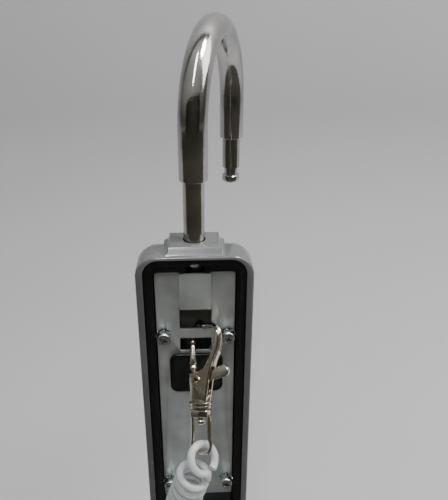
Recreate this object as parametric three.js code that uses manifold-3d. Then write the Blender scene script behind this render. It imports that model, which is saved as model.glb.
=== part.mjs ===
// Trailer coupler lock: a U-shackle in a long cast housing, its front cover off, and a tethered snap hook.
// Millimetres, +Z up, the open front faces -Y. While the pieces are made the long leg's axis is x = 0,
// y = 0 and the boss's top is z = 0; the finished group is moved so the arch's inner top is the origin.
import * as THREE from 'three';
import { mergeVertices } from 'three/addons/utils/BufferGeometryUtils.js';
import Module from 'manifold-3d';

const wasm = await Module();
wasm.setup();

// ---------------------------------------------------------------- driving sizes
const GAP = 0.3; // between a piece and the neighbour that carries it
const DEG = Math.PI / 180;

const rod = { diameter: 8, spacing: 62.7, turn: 16.6 * DEG, archCentre: 40.6, toeTip: 1.4 };
const sleeve = { wall: 1.05, end: 23.2, clearance: 0.25 };
const leg = { bottom: -13.2, lockGroove: [-8.2, -5.0], lockGrooveDepth: 1.1 };
const toe = { groove: [5.9, 9.1], grooveDepth: 0.9, chamfer: 1.2 };
const ring = { top: -10.9, thickness: 1.0, proud: 0.9, grooveDepth: 0.7, clearance: 0.15 };
const thrust = { proud: 1 };
const travel = { close: 20, button: 1.4 };
const bushing = { wall: 0.75, clearance: 0.25, bottom: -10.3, top: -3.2 };
const wiper = { thickness: 1.2 };

const body = {
  width: 44.4, top: -3.1, bottom: -155, front: -9.9, backRoom: 0.5,
  corner: 8, frontEdge: 0.9, backEdge: 6.5, wall: 2, topWall: 1.2, sideWall: 2.75,
  innerCorner: 6, innerEdge: 4.3,
};
const boss = { width: 19.2, front: -5, back: 6.4, edge: 0.8, fillet: 2 };

const gasket = { band: 3.2, frontInset: 0.5, topBand: 5.3, notchRadius: 3.8, lip: 2.5, lipDepth: 1 };
const sheet = {
  front: -6.6, thickness: 1, sideGap: 0.65, topGap: 0.9, lowerRoom: 25.8,
  channelWidth: 12, channelRise: 1.8,
};
const windows = { width: 12.6, first: [-36.3, -26.2], second: [-46.6, -40.4] };
const button = {
  width: 21.2, height: 18.6, corner: 3.2, cap: 1.2, centre: -55.9, edge: 0.5,
  stemWidth: 14, stemHeight: 12, stemCorner: 2,
};
const carrierSize = { thickness: 2, wider: 3, taller: 3, corner: 2, edge: 0.3, boss: 1.6, bossLength: 1.6 };
const screw = {
  edge: 2.75, upper: -38.6, lowerEdge: 9.4, radius: 1.5, head: 3, headHeight: 2.3, depth: 7,
  post: 2.9, clearance: 0.3, recessWidth: 0.8, recessDepth: 1.2, recessSpan: 3.4,
};
const washer = { flat: 0.7, flatRadius: 3.2, spring: 1.1, springRadius: 2.8, split: 0.7, clearance: 0.2 };

const bolt = { height: 3, thickness: 4, length: 4, ratio: 1.5 };
const link = { y: 1.4, thickness: 1.2, width: 2.4, foot: 5.6 };
const wedge = { reach: 2.2, heights: [3, 5] };
const guide = { cheek: 1.4, front: 2, start: 1.2, room: 1.6, end: 3.4 };
const backPlate = { thickness: 0.9, width: 17.6, bottom: -67 };

const hook = {
  tilt: 30 * DEG, turn: 40 * DEG, at: [-0.2, -9.3, -41.2],
  wire: 1.2, body: 4.2, stemOffset: 2, collarRadius: 4.4,
};
const gate = { centre: -1.4, thickness: 1.6 };
const rivet = { x: 1.7, down: 14, radius: 1.5, clearance: 0.2, flange: 2, hole: 1.05, flangeThickness: 0.3 };
const bail = {
  wire: 0.8, width: 8.8, foot: 8, length: 17.6, blockHeight: 3.1, blockDepth: 4.6, turn: 12 * DEG,
};
const cord = { diameter: 3, outside: 14 };

// ---------------------------------------------------------------- sizes that follow from them
const rodRadius = rod.diameter / 2;
const sleeveRadius = rodRadius + sleeve.clearance + sleeve.wall;
const bushingRadius = rodRadius + bushing.clearance + bushing.wall;
const bodyBack = bushingRadius + body.backRoom + body.wall;

// ---------------------------------------------------------------- solids
function solidOf(geometry) {
  geometry.deleteAttribute('normal');
  geometry.deleteAttribute('uv');
  const merged = mergeVertices(geometry, 1e-4);
  return new wasm.Manifold(new wasm.Mesh({
    numProp: 3,
    vertProperties: new Float32Array(merged.attributes.position.array),
    triVerts: new Uint32Array(merged.index.array),
  }));
}

function geometryOf(solid) {
  const mesh = solid.getMesh();
  const geometry = new THREE.BufferGeometry();
  geometry.setAttribute('position', new THREE.BufferAttribute(mesh.vertProperties, 3));
  geometry.setIndex(new THREE.BufferAttribute(mesh.triVerts, 1));
  geometry.computeVertexNormals();
  return geometry;
}

function box(x, y, z) {
  const shape = new THREE.BoxGeometry(x[1] - x[0], y[1] - y[0], z[1] - z[0]);
  return solidOf(shape.translate((x[0] + x[1]) / 2, (y[0] + y[1]) / 2, (z[0] + z[1]) / 2));
}

// A cylinder along z, with its axis through (x, y).
function upright(radius, z, x = 0, y = 0, sides = 40) {
  const shape = new THREE.CylinderGeometry(radius, radius, z[1] - z[0], sides).rotateX(Math.PI / 2);
  return solidOf(shape.translate(x, y, (z[0] + z[1]) / 2));
}

// A cylinder along y, with its axis through (x, z).
function across(radius, y, x, z, sides = 32) {
  const shape = new THREE.CylinderGeometry(radius, radius, y[1] - y[0], sides);
  return solidOf(shape.translate(x, (y[0] + y[1]) / 2, z));
}

function tubeRing(outer, inner, z, sides = 40) {
  return upright(outer, z, 0, 0, sides).subtract(upright(inner, [z[0] - 1, z[1] + 1], 0, 0, sides));
}

function roundedRect(width, height, corner, x = 0, y = 0) {
  const shape = new THREE.Shape();
  const w = width / 2;
  const h = height / 2;
  shape.moveTo(x - w + corner, y - h);
  shape.lineTo(x + w - corner, y - h);
  shape.absarc(x + w - corner, y - h + corner, corner, -Math.PI / 2, 0);
  shape.absarc(x + w - corner, y + h - corner, corner, 0, Math.PI / 2);
  shape.absarc(x - w + corner, y + h - corner, corner, Math.PI / 2, Math.PI);
  shape.absarc(x - w + corner, y - h + corner, corner, Math.PI, Math.PI * 1.5);
  return shape;
}

// A shape drawn in x and z, given depth from y[0] to y[1], with its long edges rounded by edge.
function plateOf(shape, y, edge = 0, curveSegments = 4) {
  const geometry = new THREE.ExtrudeGeometry(shape, {
    depth: y[1] - y[0] - 2 * edge, curveSegments,
    bevelEnabled: edge > 0, bevelThickness: edge, bevelSize: edge, bevelOffset: -edge, bevelSegments: 3,
  });
  return solidOf(geometry.rotateX(Math.PI / 2).translate(0, y[1] - edge, 0));
}

// A round wire of the given radius along a curve.
function wireAlong(curve, radius, steps, sides = 12) {
  const section = new THREE.Shape().absarc(0, 0, radius, 0, 2 * Math.PI);
  return solidOf(new THREE.ExtrudeGeometry(section, {
    steps, extrudePath: curve, curveSegments: sides / 2,
  }));
}

// ---------------------------------------------------------------- the shackle's centre line
const archRadius = rod.spacing / 2;
const toeAt = new THREE.Vector2(Math.sin(rod.turn), Math.cos(rod.turn)).multiplyScalar(rod.spacing);

class ShackleCurve extends THREE.Curve {
  constructor(startZ, endZ) {
    super();
    this.up = rod.archCentre - startZ;
    this.arch = Math.PI * archRadius;
    this.down = rod.archCentre - endZ;
  }

  getPoint(t, target = new THREE.Vector3()) {
    const run = t * (this.up + this.arch + this.down);
    let out = 0;
    let z = rod.archCentre - this.up + run;
    if (run > this.up) {
      const angle = Math.min((run - this.up) / archRadius, Math.PI);
      out = archRadius * (1 - Math.cos(angle));
      z = rod.archCentre + archRadius * Math.sin(angle);
    }
    if (run > this.up + this.arch) {
      z = rod.archCentre - (run - this.up - this.arch);
    }
    return target.set(out * Math.sin(rod.turn), out * Math.cos(rod.turn), z);
  }
}

function shackleRod() {
  const radius = rodRadius;
  const far = 60;
  let solid = wireAlong(new ShackleCurve(leg.bottom, rod.toeTip), radius, 50, 20);
  const collarOf = (depth, z, x, y) => upright(radius + 2, z, x, y)
    .subtract(upright(radius - depth, [z[0] - 1, z[1] + 1], x, y));
  solid = solid.subtract(collarOf(leg.lockGrooveDepth, leg.lockGroove, 0, 0));
  solid = solid.subtract(collarOf(ring.grooveDepth, [ring.top - ring.thickness, ring.top], 0, 0));
  solid = solid.subtract(collarOf(toe.grooveDepth, toe.groove, toeAt.x, toeAt.y));
  const tip = new THREE.CylinderGeometry(radius + far, radius - toe.chamfer, far + toe.chamfer, 40);
  tip.rotateX(Math.PI / 2).translate(toeAt.x, toeAt.y, rod.toeTip + (far + toe.chamfer) / 2);
  const keep = box([-200, 200], [-200, toeAt.y / 2], [-200, 200]).add(solidOf(tip));
  return solid.intersect(keep.add(box([-200, 200], [-200, 200], [rod.toeTip + far / 2, 200])));
}

function shackleSleeve() {
  const section = new THREE.Shape().absarc(0, 0, sleeveRadius, 0, 2 * Math.PI);
  section.holes.push(new THREE.Path().absarc(0, 0, rodRadius + sleeve.clearance, 0, 2 * Math.PI, true));
  return solidOf(new THREE.ExtrudeGeometry(section, {
    steps: 30, extrudePath: new ShackleCurve(sleeve.end, sleeve.end), curveSegments: 10,
  }));
}

// An open ring that snaps into the leg's lower groove.
function retainingRing() {
  const z = [ring.top - ring.thickness + 0.05, ring.top - 0.05];
  const outer = rodRadius + ring.proud;
  const mouth = box([-1.6, 1.6], [0, outer + 2], [z[0] - 1, z[1] + 1]);
  return tubeRing(outer, rodRadius - ring.grooveDepth + ring.clearance, z).subtract(mouth);
}

// ---------------------------------------------------------------- housing
const inner = {
  left: -body.width / 2 + body.sideWall,
  right: body.width / 2 - body.sideWall,
  top: body.top - body.topWall,
  bottom: body.bottom + body.wall,
  back: bodyBack - body.wall,
};
const sheetHalf = inner.right - GAP - gasket.band - sheet.sideGap;
const sheetTop = inner.top - GAP - gasket.topBand - sheet.topGap;
const sheetBottom = inner.bottom + sheet.lowerRoom;
const sheetBack = sheet.front + sheet.thickness;
const screwX = sheetHalf - screw.edge;
const screwLow = sheetBottom + screw.lowerEdge;
const screwPlaces = [
  ['upper_left', -screwX, screw.upper],
  ['upper_right', screwX, screw.upper],
  ['lower_left', -screwX, screwLow],
  ['lower_right', screwX, screwLow],
];
// The space inside the shell, drawn in by inset, from y[0] to y[1], rounded into its back wall by edge.
const cavity = (inset, y, topInset = inset, edge = 0) => {
  const outline = roundedRect(
    inner.right - inner.left - 2 * inset,
    inner.top - inner.bottom - topInset - inset,
    Math.max(body.innerCorner - inset, 1),
    0,
    (inner.top - topInset + inner.bottom + inset) / 2,
  );
  if (edge === 0) {
    return plateOf(outline, y);
  }
  const beyond = [y[0] - edge - 1, y[1]];
  return plateOf(outline, beyond, edge, 4).intersect(plateOf(outline, [y[0], y[1] + 1]));
};

// The boss is the meet of a front view, with fillets at its foot, and a side view that falls to the rim.
function bossSolid() {
  const foot = body.top - body.topWall + 0.1;
  const half = boss.width / 2;
  const { edge, fillet } = boss;
  const view = new THREE.Shape();
  view.moveTo(-half - fillet, foot);
  view.lineTo(-half - fillet, body.top);
  view.absarc(-half - fillet, body.top + fillet, fillet, -Math.PI / 2, 0, false);
  view.lineTo(-half, -edge);
  view.absarc(-half + edge, -edge, edge, Math.PI, Math.PI / 2, true);
  view.lineTo(half - edge, 0);
  view.absarc(half - edge, -edge, edge, Math.PI / 2, 0, true);
  view.lineTo(half, body.top + fillet);
  view.absarc(half + fillet, body.top + fillet, fillet, Math.PI, Math.PI * 1.5, false);
  view.lineTo(half + fillet, foot);
  const front = body.front + body.frontEdge;
  const side = new THREE.Shape();
  side.moveTo(boss.back, foot);
  side.lineTo(boss.back, -edge);
  side.absarc(boss.back - edge, -edge, edge, 0, Math.PI / 2, false);
  side.lineTo(boss.front, 0);
  side.bezierCurveTo(boss.front - 1.6, -0.1, front + 1.4, body.top + 1.0, front, body.top);
  side.lineTo(front, foot);
  const sideways = new THREE.Matrix4().makeBasis(
    new THREE.Vector3(0, 1, 0), new THREE.Vector3(0, 0, 1), new THREE.Vector3(1, 0, 0),
  );
  const width = boss.width + 2 * fillet;
  const profile = new THREE.ExtrudeGeometry(side, { depth: width, curveSegments: 8, bevelEnabled: false });
  profile.translate(0, 0, -width / 2).applyMatrix4(sideways);
  return plateOf(view, [front - 1, boss.back + 1], 0, 6).intersect(solidOf(profile));
}

function housing() {
  const height = body.top - body.bottom;
  const outline = roundedRect(body.width, height, body.corner, 0, (body.top + body.bottom) / 2);
  const beyond = 2 * body.backEdge;
  let solid = plateOf(outline, [body.front, bodyBack + beyond], body.frontEdge, 6);
  solid = solid.intersect(plateOf(outline, [body.front - beyond, bodyBack], body.backEdge, 5));

  solid = solid.add(bossSolid());
  solid = solid.subtract(cavity(0, [body.front - 5, inner.back], 0, body.innerEdge));
  for (const [, x, z] of screwPlaces) {
    solid = solid.add(across(screw.post, [sheetBack + GAP, inner.back + 0.5], x, z));
    const bore = [sheetBack - 1, sheetBack + GAP + screw.depth];
    solid = solid.subtract(across(screw.radius + screw.clearance, bore, x, z, 24));
  }
  const seat = bushing.top + wiper.thickness + 2 * GAP;
  solid = solid.subtract(upright(bushingRadius + bushing.clearance, [inner.top - 2 * body.innerEdge, seat]));
  return solid.subtract(upright(rodRadius + bushing.clearance + 0.1, [seat - 1, 1]));
}

const legBushing = () => tubeRing(
  bushingRadius,
  rodRadius + bushing.clearance,
  [bushing.bottom, bushing.top],
);
const legWiper = () => tubeRing(
  bushingRadius,
  rodRadius + bushing.clearance,
  [bushing.top + GAP, bushing.top + GAP + wiper.thickness],
);

function gasketLiner() {
  const y = [body.front + gasket.frontInset, inner.back - GAP];
  let solid = cavity(GAP, y, GAP, body.innerEdge);
  solid = solid.subtract(cavity(GAP + gasket.band, [y[0] - 1, y[1] + 1], GAP + gasket.topBand));
  const lip = GAP + gasket.lip;
  solid = solid.subtract(cavity(lip, [y[0] - 1, y[0] + gasket.lipDepth], lip));
  solid = solid.subtract(upright(bushingRadius + body.backRoom, [inner.bottom / 2, 5]));
  return solid.subtract(across(gasket.notchRadius, [y[0] - 1, 0], 0, inner.top - GAP - gasket.topBand));
}

// ---------------------------------------------------------------- mounting plate and its fasteners
function mountingPlate() {
  const middle = (sheetTop + sheetBottom) / 2;
  const y = [sheet.front, sheetBack];
  const through = [sheet.front - 5, sheetBack + 5];
  let solid = plateOf(roundedRect(2 * sheetHalf, sheetTop - sheetBottom, 0.6, 0, middle), y);
  const half = sheet.channelWidth / 2;
  const channel = [windows.first[1], sheetTop];
  solid = solid.subtract(box(
    [-half + sheet.thickness, half - sheet.thickness], through, [channel[0], channel[1] + 1],
  ));
  const front = sheet.front - sheet.channelRise;
  solid = solid.add(box([-half, half], [front, sheetBack], channel));
  solid = solid.subtract(box(
    [-half + sheet.thickness, half - sheet.thickness],
    [front + sheet.thickness, sheetBack + 1], [channel[0] - 1, channel[1] + 1],
  ));
  for (const window of [windows.first, windows.second]) {
    const opening = roundedRect(windows.width, window[1] - window[0], 0.5, 0, (window[0] + window[1]) / 2);
    solid = solid.subtract(plateOf(opening, through));
  }
  const stemHole = roundedRect(
    button.stemWidth + 2 * GAP, button.stemHeight + 2 * GAP, button.stemCorner, 0, button.centre,
  );
  solid = solid.subtract(plateOf(stemHole, through));
  for (const [, x, z] of screwPlaces) {
    solid = solid.subtract(across(screw.radius + screw.clearance, through, x, z, 24));
  }
  return solid;
}

// Along y from the plate outwards: flat washer, spring washer, head.
const stack = {
  flat: sheet.front - 0.05,
  spring: sheet.front - 0.1 - washer.flat,
  head: sheet.front - 0.15 - washer.flat - washer.spring,
};
const faceRing = (outer, hole, y, x, z) =>
  across(outer, y, x, z).subtract(across(hole, [y[0] - 1, y[1] + 1], x, z, 24));

const flatWasher = (x, z) => faceRing(
  washer.flatRadius, screw.radius + washer.clearance, [stack.flat - washer.flat, stack.flat], x, z,
);

function springWasher(x, z) {
  const y = [stack.spring - washer.spring, stack.spring];
  const solid = faceRing(washer.springRadius, screw.radius + washer.clearance, y, x, z);
  const split = new THREE.BoxGeometry(washer.split, washer.spring * 3, washer.springRadius * 2);
  split.rotateZ(0.5).translate(x, (y[0] + y[1]) / 2, z + washer.springRadius);
  return solid.subtract(solidOf(split));
}

function panScrew(x, z) {
  const under = stack.head;
  const profile = [
    [0, 0], [screw.head, 0], [screw.head, screw.headHeight * 0.45],
    [screw.head * 0.86, screw.headHeight * 0.8],
    [screw.head * 0.55, screw.headHeight], [0, screw.headHeight],
  ].map(([x0, y0]) => new THREE.Vector2(x0, y0));
  const head = new THREE.LatheGeometry(profile, 28).rotateX(Math.PI).translate(x, under, z);
  let solid = solidOf(head).add(across(
    screw.radius, [under - 0.1, sheetBack + screw.depth - 1], x, z, 24,
  ));
  const top = under - screw.headHeight;
  for (const turn of [45, 135]) {
    const slot = new THREE.BoxGeometry(screw.recessWidth, 2 * screw.recessDepth, screw.recessSpan);
    slot.rotateY(turn * DEG).translate(x, top, z);
    solid = solid.subtract(solidOf(slot));
  }
  return solid;
}

// ---------------------------------------------------------------- button and lock work behind the plate
// The lock groove's height when the shackle is pushed home, where the bolt meets it.
const boltZ = (leg.lockGroove[0] + leg.lockGroove[1]) / 2 - travel.close;
const boltTip = rodRadius + thrust.proud + GAP;
const boltEnd = Math.min(boltTip + bolt.length, screwX - screw.post - GAP);

const capBack = sheet.front - travel.button - 0.2;
const carrier = {
  front: sheetBack + 0.4, back: sheetBack + 0.4 + carrierSize.thickness,
  width: button.stemWidth + carrierSize.wider, height: button.stemHeight + carrierSize.taller,
};
// Where the wedge starts across the carrier, and how far it rises behind it.
const wedgeStart = carrier.width / 2 - wedge.reach;
const wedgeRise = (boltEnd - wedgeStart) / bolt.ratio;
const wedgeHeights = wedge.heights.map((h) => button.centre + h);

function buttonCap() {
  const cap = roundedRect(button.width, button.height, button.corner, 0, button.centre);
  const stem = roundedRect(button.stemWidth, button.stemHeight, button.stemCorner, 0, button.centre);
  const solid = plateOf(cap, [capBack - button.cap, capBack], button.edge);
  return solid.add(plateOf(stem, [capBack - 0.3, carrier.front - 0.1]));
}

// The plate on the back wall that the spring and the bolt's guide stand on.
const plateBehind = [inner.back - GAP - backPlate.thickness, inner.back - GAP];

// A prism with the given outline in x and y, between two heights.
function prism(points, z) {
  const shape = new THREE.Shape(points.map(([x, y]) => new THREE.Vector2(x, y)));
  const geometry = new THREE.ExtrudeGeometry(shape, { depth: z[1] - z[0], bevelEnabled: false });
  return solidOf(geometry.translate(0, 0, z[0]));
}

// The carrier's wedge drives the bolt's finger sideways, bolt.ratio times as far as the button goes in.
function buttonCarrier() {
  const y = [carrier.front, carrier.back];
  const shape = roundedRect(carrier.width, carrier.height, carrierSize.corner, 0, button.centre);
  const stub = across(carrierSize.boss, [y[1] - 0.1, y[1] + carrierSize.bossLength], 0, button.centre, 24);
  const foot = y[1] - 0.4;
  const start = y[1] - 0.1;
  return plateOf(shape, y, carrierSize.edge).add(stub).add(prism([
    [wedgeStart, foot], [boltEnd, foot], [boltEnd, start + wedgeRise], [wedgeStart, start],
  ], wedgeHeights));
}

class HelixCurve extends THREE.Curve {
  constructor(radius, turns, from, to) {
    super();
    Object.assign(this, { radius, turns, from, to });
  }

  getPoint(t, target = new THREE.Vector3()) {
    const angle = t * this.turns * 2 * Math.PI;
    const y = this.from + (this.to - this.from) * t;
    return target.set(this.radius * Math.cos(angle), y, button.centre + this.radius * Math.sin(angle));
  }
}

const spring = { radius: 2.6, wire: 0.4, turns: 2.5, seat: 0.15 };
function buttonSpring() {
  const from = carrier.back + spring.wire + spring.seat;
  const to = plateBehind[0] - spring.wire - spring.seat;
  return wireAlong(new HelixCurve(spring.radius, spring.turns, from, to), spring.wire, 54, 6);
}

// The bolt slides along x into the groove. Its link runs down behind the windows to the carrier.
function lockBolt() {
  const half = bolt.thickness / 2;
  const reach = (bolt.height - 2 * GAP) / 2;
  const back = link.y + link.thickness;
  const bottom = button.centre - 3;
  const footTop = button.centre + carrier.height / 2 - 2;
  const solid = box([boltTip, boltEnd], [-half, half], [boltZ - reach, boltZ + reach])
    .add(box([boltEnd - link.width, boltEnd], [link.y, back], [bottom, boltZ]))
    .add(box([link.foot, boltEnd], [link.y, back], [bottom, footTop]));
  const pushed = carrier.back + travel.button + GAP;
  const top = carrier.back - 0.1 + wedgeRise + 1.5 * GAP;
  const run = (top - pushed) * bolt.ratio;
  return solid.add(prism([
    [link.foot, back], [link.foot, pushed], [boltEnd - run, pushed], [boltEnd, top], [boltEnd, back],
  ], wedgeHeights));
}

function boltGuide() {
  const y = [-bolt.thickness / 2 - guide.front, plateBehind[0] - 0.2];
  const half = bolt.height / 2;
  const z = [boltZ - half - guide.cheek, boltZ + half + guide.cheek];
  const solid = box([boltTip + guide.start, boltEnd + guide.end], y, z);
  const slot = bolt.thickness / 2 + GAP;
  const back = link.y + link.thickness + GAP;
  const tunnel = box([0, boltEnd + guide.room], [-slot, back], [boltZ - half, boltZ + half]);
  const reach = boltEnd - link.width - GAP - travel.button * bolt.ratio;
  const way = box([reach, boltEnd + GAP], [link.y - GAP, back], [z[0] - 1, boltZ]);
  return solid.subtract(tunnel).subtract(way);
}

// A zinc plate on the back wall, seen through the windows. It ends below the retaining ring's travel.
const plateTop = ring.top - ring.thickness - travel.close - GAP;
function lockPlate() {
  const shape = roundedRect(
    backPlate.width, plateTop - backPlate.bottom, 1.5, 0, (plateTop + backPlate.bottom) / 2,
  );
  return plateOf(shape, plateBehind);
}

// ---------------------------------------------------------------- snap hook, made in its own tilted plane
const hookPlace = new THREE.Matrix4().makeRotationFromEuler(new THREE.Euler(-hook.tilt, 0, -hook.turn))
  .setPosition(...hook.at);
const place = (geometry) => solidOf(geometry.applyMatrix4(hookPlace));
const spot = (x, down) => new THREE.Vector3(x, 0, -down).applyMatrix4(hookPlace);

// A flat outline in the hook's plane, given thickness, with softened edges.
function hookPlate(shape, thickness, edge) {
  const geometry = new THREE.ExtrudeGeometry(shape, {
    depth: thickness - 2 * edge, curveSegments: 4, bevelEnabled: edge > 0,
    bevelThickness: edge, bevelSize: edge, bevelOffset: -edge, bevelSegments: 2,
  });
  return place(geometry.rotateX(Math.PI / 2).translate(0, thickness / 2 - edge, 0));
}

function hookCylinder(radius, down, sides = 32) {
  const shape = new THREE.CylinderGeometry(radius, radius, down[1] - down[0], sides).rotateX(Math.PI / 2);
  return place(shape.translate(hook.stemOffset, 0, -(down[0] + down[1]) / 2));
}

const collarAt = [22.5, 24.5];

// From the arm, over the plate's bridge, down behind it and out again to meet the gate.
const crownBehind = sheetBack + hook.wire + 2.1;
const bridge = { top: windows.first[0], bottom: windows.second[1], middle: (sheet.front + sheetBack) / 2 };
function hookBody() {
  const over = bridge.top + hook.wire + GAP;
  const under = bridge.bottom - hook.wire - 0.7;
  const nose = spot(gate.centre, 0).x;
  const path = new THREE.CatmullRomCurve3([
    spot(10.6, 2.2), spot(11.7, -2.4), spot(11.5, -5.6),
    new THREE.Vector3(7.2, -9.9, over + 2.1),
    new THREE.Vector3(5.2, -8.2, over + 1.1),
    new THREE.Vector3(3.9, sheet.front - 0.6, over + 0.7),
    new THREE.Vector3(2.8, bridge.middle + 0.6, over),
    new THREE.Vector3(1.6, crownBehind - 0.4, over - 0.7),
    new THREE.Vector3(0.2, crownBehind, bridge.top - 2),
    new THREE.Vector3(nose, crownBehind, bridge.bottom + 0.4),
    new THREE.Vector3(nose, crownBehind - 0.9, under - 0.2),
    new THREE.Vector3(nose, bridge.middle + 0.3, under - 0.3),
    new THREE.Vector3(nose, sheet.front - 0.9, under + 0.1),
  ], false, 'centripetal');
  let solid = wireAlong(path, hook.wire, 40, 10);

  const outline = new THREE.Shape();
  const foot = -collarAt[0] - 0.2;
  outline.moveTo(-1.9, -11.2);
  outline.quadraticCurveTo(3.0, -11.3, 5.3, -8.7);
  outline.quadraticCurveTo(8.4, -5.0, 9.4, -2.2);
  outline.quadraticCurveTo(10.3, 0.8, 10.6, 3.6);
  outline.quadraticCurveTo(10.9, 6.4, 11.9, 5.9);
  outline.quadraticCurveTo(13.1, 5.2, 12.8, 2.2);
  outline.quadraticCurveTo(12.3, -1.6, 10.6, -4.6);
  outline.quadraticCurveTo(9.1, -7.4, 8.4, -9.6);
  outline.lineTo(7.3, -14.2);
  outline.lineTo(5.7, foot);
  outline.lineTo(-1.3, foot);
  outline.lineTo(-2.1, -14.5);
  solid = solid.add(hookPlate(outline, hook.body, 0.45));
  solid = solid.add(hookCylinder(hook.collarRadius, [collarAt[0], collarAt[0] + 0.85]));
  solid = solid.add(hookCylinder(hook.collarRadius - 0.7, collarAt));
  solid = solid.add(hookCylinder(hook.collarRadius - 0.15, [collarAt[1] - 0.75, collarAt[1]]));
  const wide = gate.thickness + 2 * GAP;
  const slot = roundedRect(8.6, 11.4, 0.4, 2.0, -rivet.down + 1.0);
  const leverWay = roundedRect(9.4, 11.0, 0.4, 8.4, -13.9);
  for (const shape of [slot, leverWay]) {
    solid = solid.subtract(hookPlate(shape, wide, 0));
  }
  const bore = new THREE.CylinderGeometry(rivet.radius, rivet.radius, 20, 20);
  return solid.subtract(place(bore.translate(rivet.x, 0, -rivet.down)));
}

function hookRivet() {
  const length = hook.body + 2 * rivet.flangeThickness;
  const shank = rivet.radius - rivet.clearance;
  const shape = new THREE.CylinderGeometry(shank, shank, length, 24);
  const flange = new THREE.CylinderGeometry(rivet.flange - 0.15, rivet.flange, rivet.flangeThickness, 24);
  const other = new THREE.CylinderGeometry(rivet.flange, rivet.flange - 0.15, rivet.flangeThickness, 24);
  const out = hook.body / 2 + rivet.flangeThickness / 2 + 0.05;
  const solid = place(shape.translate(rivet.x, 0, -rivet.down))
    .add(place(flange.translate(rivet.x, out, -rivet.down)))
    .add(place(other.translate(rivet.x, -out, -rivet.down)));
  const hole = new THREE.CylinderGeometry(rivet.hole, rivet.hole, 20, 20);
  return solid.subtract(place(hole.translate(rivet.x, 0, -rivet.down)));
}

// The gate turns on the rivet: a slim turned tongue above, a plate in the body's slot, and a thumb lever
// that comes out on the arm's side.
function hookGate() {
  const shape = new THREE.Shape();
  const c = gate.centre;
  shape.moveTo(c - 0.8, -8.6);
  shape.lineTo(c + 0.9, -8.6);
  shape.lineTo(c + 1.3, -11.4);
  shape.lineTo(8.6, -9.6);
  shape.lineTo(12.2, -7.8);
  shape.quadraticCurveTo(14.6, -6.7, 15.9, -8.7);
  shape.quadraticCurveTo(16.6, -10.9, 14.4, -11.9);
  shape.lineTo(8.4, -13.6);
  shape.lineTo(4.0, -15.6);
  shape.quadraticCurveTo(1.7, -17.2, 0.2, -16.0);
  shape.quadraticCurveTo(-1.2, -14.9, -1.3, -12.6);
  shape.lineTo(c - 0.6, -10.8);
  let solid = hookPlate(shape, gate.thickness, 0.25);
  const tongue = new THREE.LatheGeometry([
    [0, -10.1], [1.2, -10.1], [1.6, -9.7], [1.6, -9.0], [1.25, -8.7], [1.2, -8.4], [1.55, -8.0], [1.6, -7.4],
    [1.25, -4], [0.95, -1.2], [0.7, -0.9], [0.55, -0.45], [0.8, 0.05], [0.85, 0.55], [0.55, 1.0], [0, 1.1],
  ].map(([r, up]) => new THREE.Vector2(r, up)), 16).rotateX(Math.PI / 2).translate(c, 0, 0);
  solid = solid.add(place(tongue));
  const bore = new THREE.CylinderGeometry(rivet.radius, rivet.radius, 20, 20);
  return solid.subtract(place(bore.translate(rivet.x, 0, -rivet.down)));
}

const blockDown = [collarAt[1] + 0.5, collarAt[1] + 0.5 + bail.blockHeight];
function swivelPin() {
  const pin = hookCylinder(1.2, [collarAt[1] + 0.05, blockDown[1] + 1.2], 24);
  const ball = new THREE.SphereGeometry(1.9, 20, 14).scale(1, 1, 0.75);
  return pin.add(place(ball.translate(hook.stemOffset, 0, -blockDown[1] - 1.75)));
}

// The bail hangs on the pin's ball, turned a little on it.
function hookBail() {
  const half = bail.width / 2 - bail.wire;
  const foot = bail.foot / 2 - bail.wire;
  const top = (blockDown[0] + blockDown[1]) / 2;
  const low = blockDown[0] + bail.length - bail.wire;
  const turned = new THREE.Matrix4().makeTranslation(hook.stemOffset, 0, 0)
    .multiply(new THREE.Matrix4().makeRotationZ(bail.turn));
  const placed = new THREE.Matrix4().multiplyMatrices(hookPlace, turned);
  const at = (x, down) => new THREE.Vector3(x, 0, -down).applyMatrix4(placed);
  const loop = new THREE.CatmullRomCurve3([
    at(-half + 1.2, top), at(-half + 0.1, top + 1.6), at(-half, top + 4), at(-half, low - 7),
    at(-foot - 0.7, low - 2.6), at(-foot, low - 0.7), at(-foot * 0.5, low - 0.1), at(foot * 0.5, low - 0.1),
    at(foot, low - 0.7), at(foot + 0.7, low - 2.6), at(half, low - 7), at(half, top + 4),
    at(half - 0.1, top + 1.6), at(half - 1.2, top),
  ], false, 'centripetal');
  const block = new THREE.ExtrudeGeometry(roundedRect(bail.width - 1.4, bail.blockHeight, 0.8, 0, -top), {
    depth: bail.blockDepth - 1.2, curveSegments: 5, bevelEnabled: true,
    bevelThickness: 0.6, bevelSize: 0.6, bevelOffset: -0.6, bevelSegments: 2,
  });
  block.rotateX(Math.PI / 2).translate(0, bail.blockDepth / 2 - 0.6, 0).applyMatrix4(placed);
  const hole = hookCylinder(1.2 + GAP, [blockDown[0] - 1, blockDown[1] + 1], 24);
  return wireAlong(loop, bail.wire, 34, 8).add(solidOf(block)).subtract(hole);
}

// ---------------------------------------------------------------- coiled tether
// The end turn hangs on the bail as a ring that leans back; the coil starts under it and hangs down.
const tether = {
  loop: { centre: [1.9, -32.5, -78.7], radius: 5.5, turn: 44 * DEG, lean: 39 * DEG, open: 0.05 },
  route: [
    [-1.4, -33, -84.6], [-3.6, -33, -92], [-6.2, -32.8, -100.5], [-8.4, -32.4, -110], [-9.6, -32, -122],
    [-10, -31.8, -140], [-10, -31.8, -170], [-10, -31.8, -192],
  ],
  end: { length: 9, radius: 3.4, eye: 4.2, eyeWire: 1.3 },
};

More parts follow.
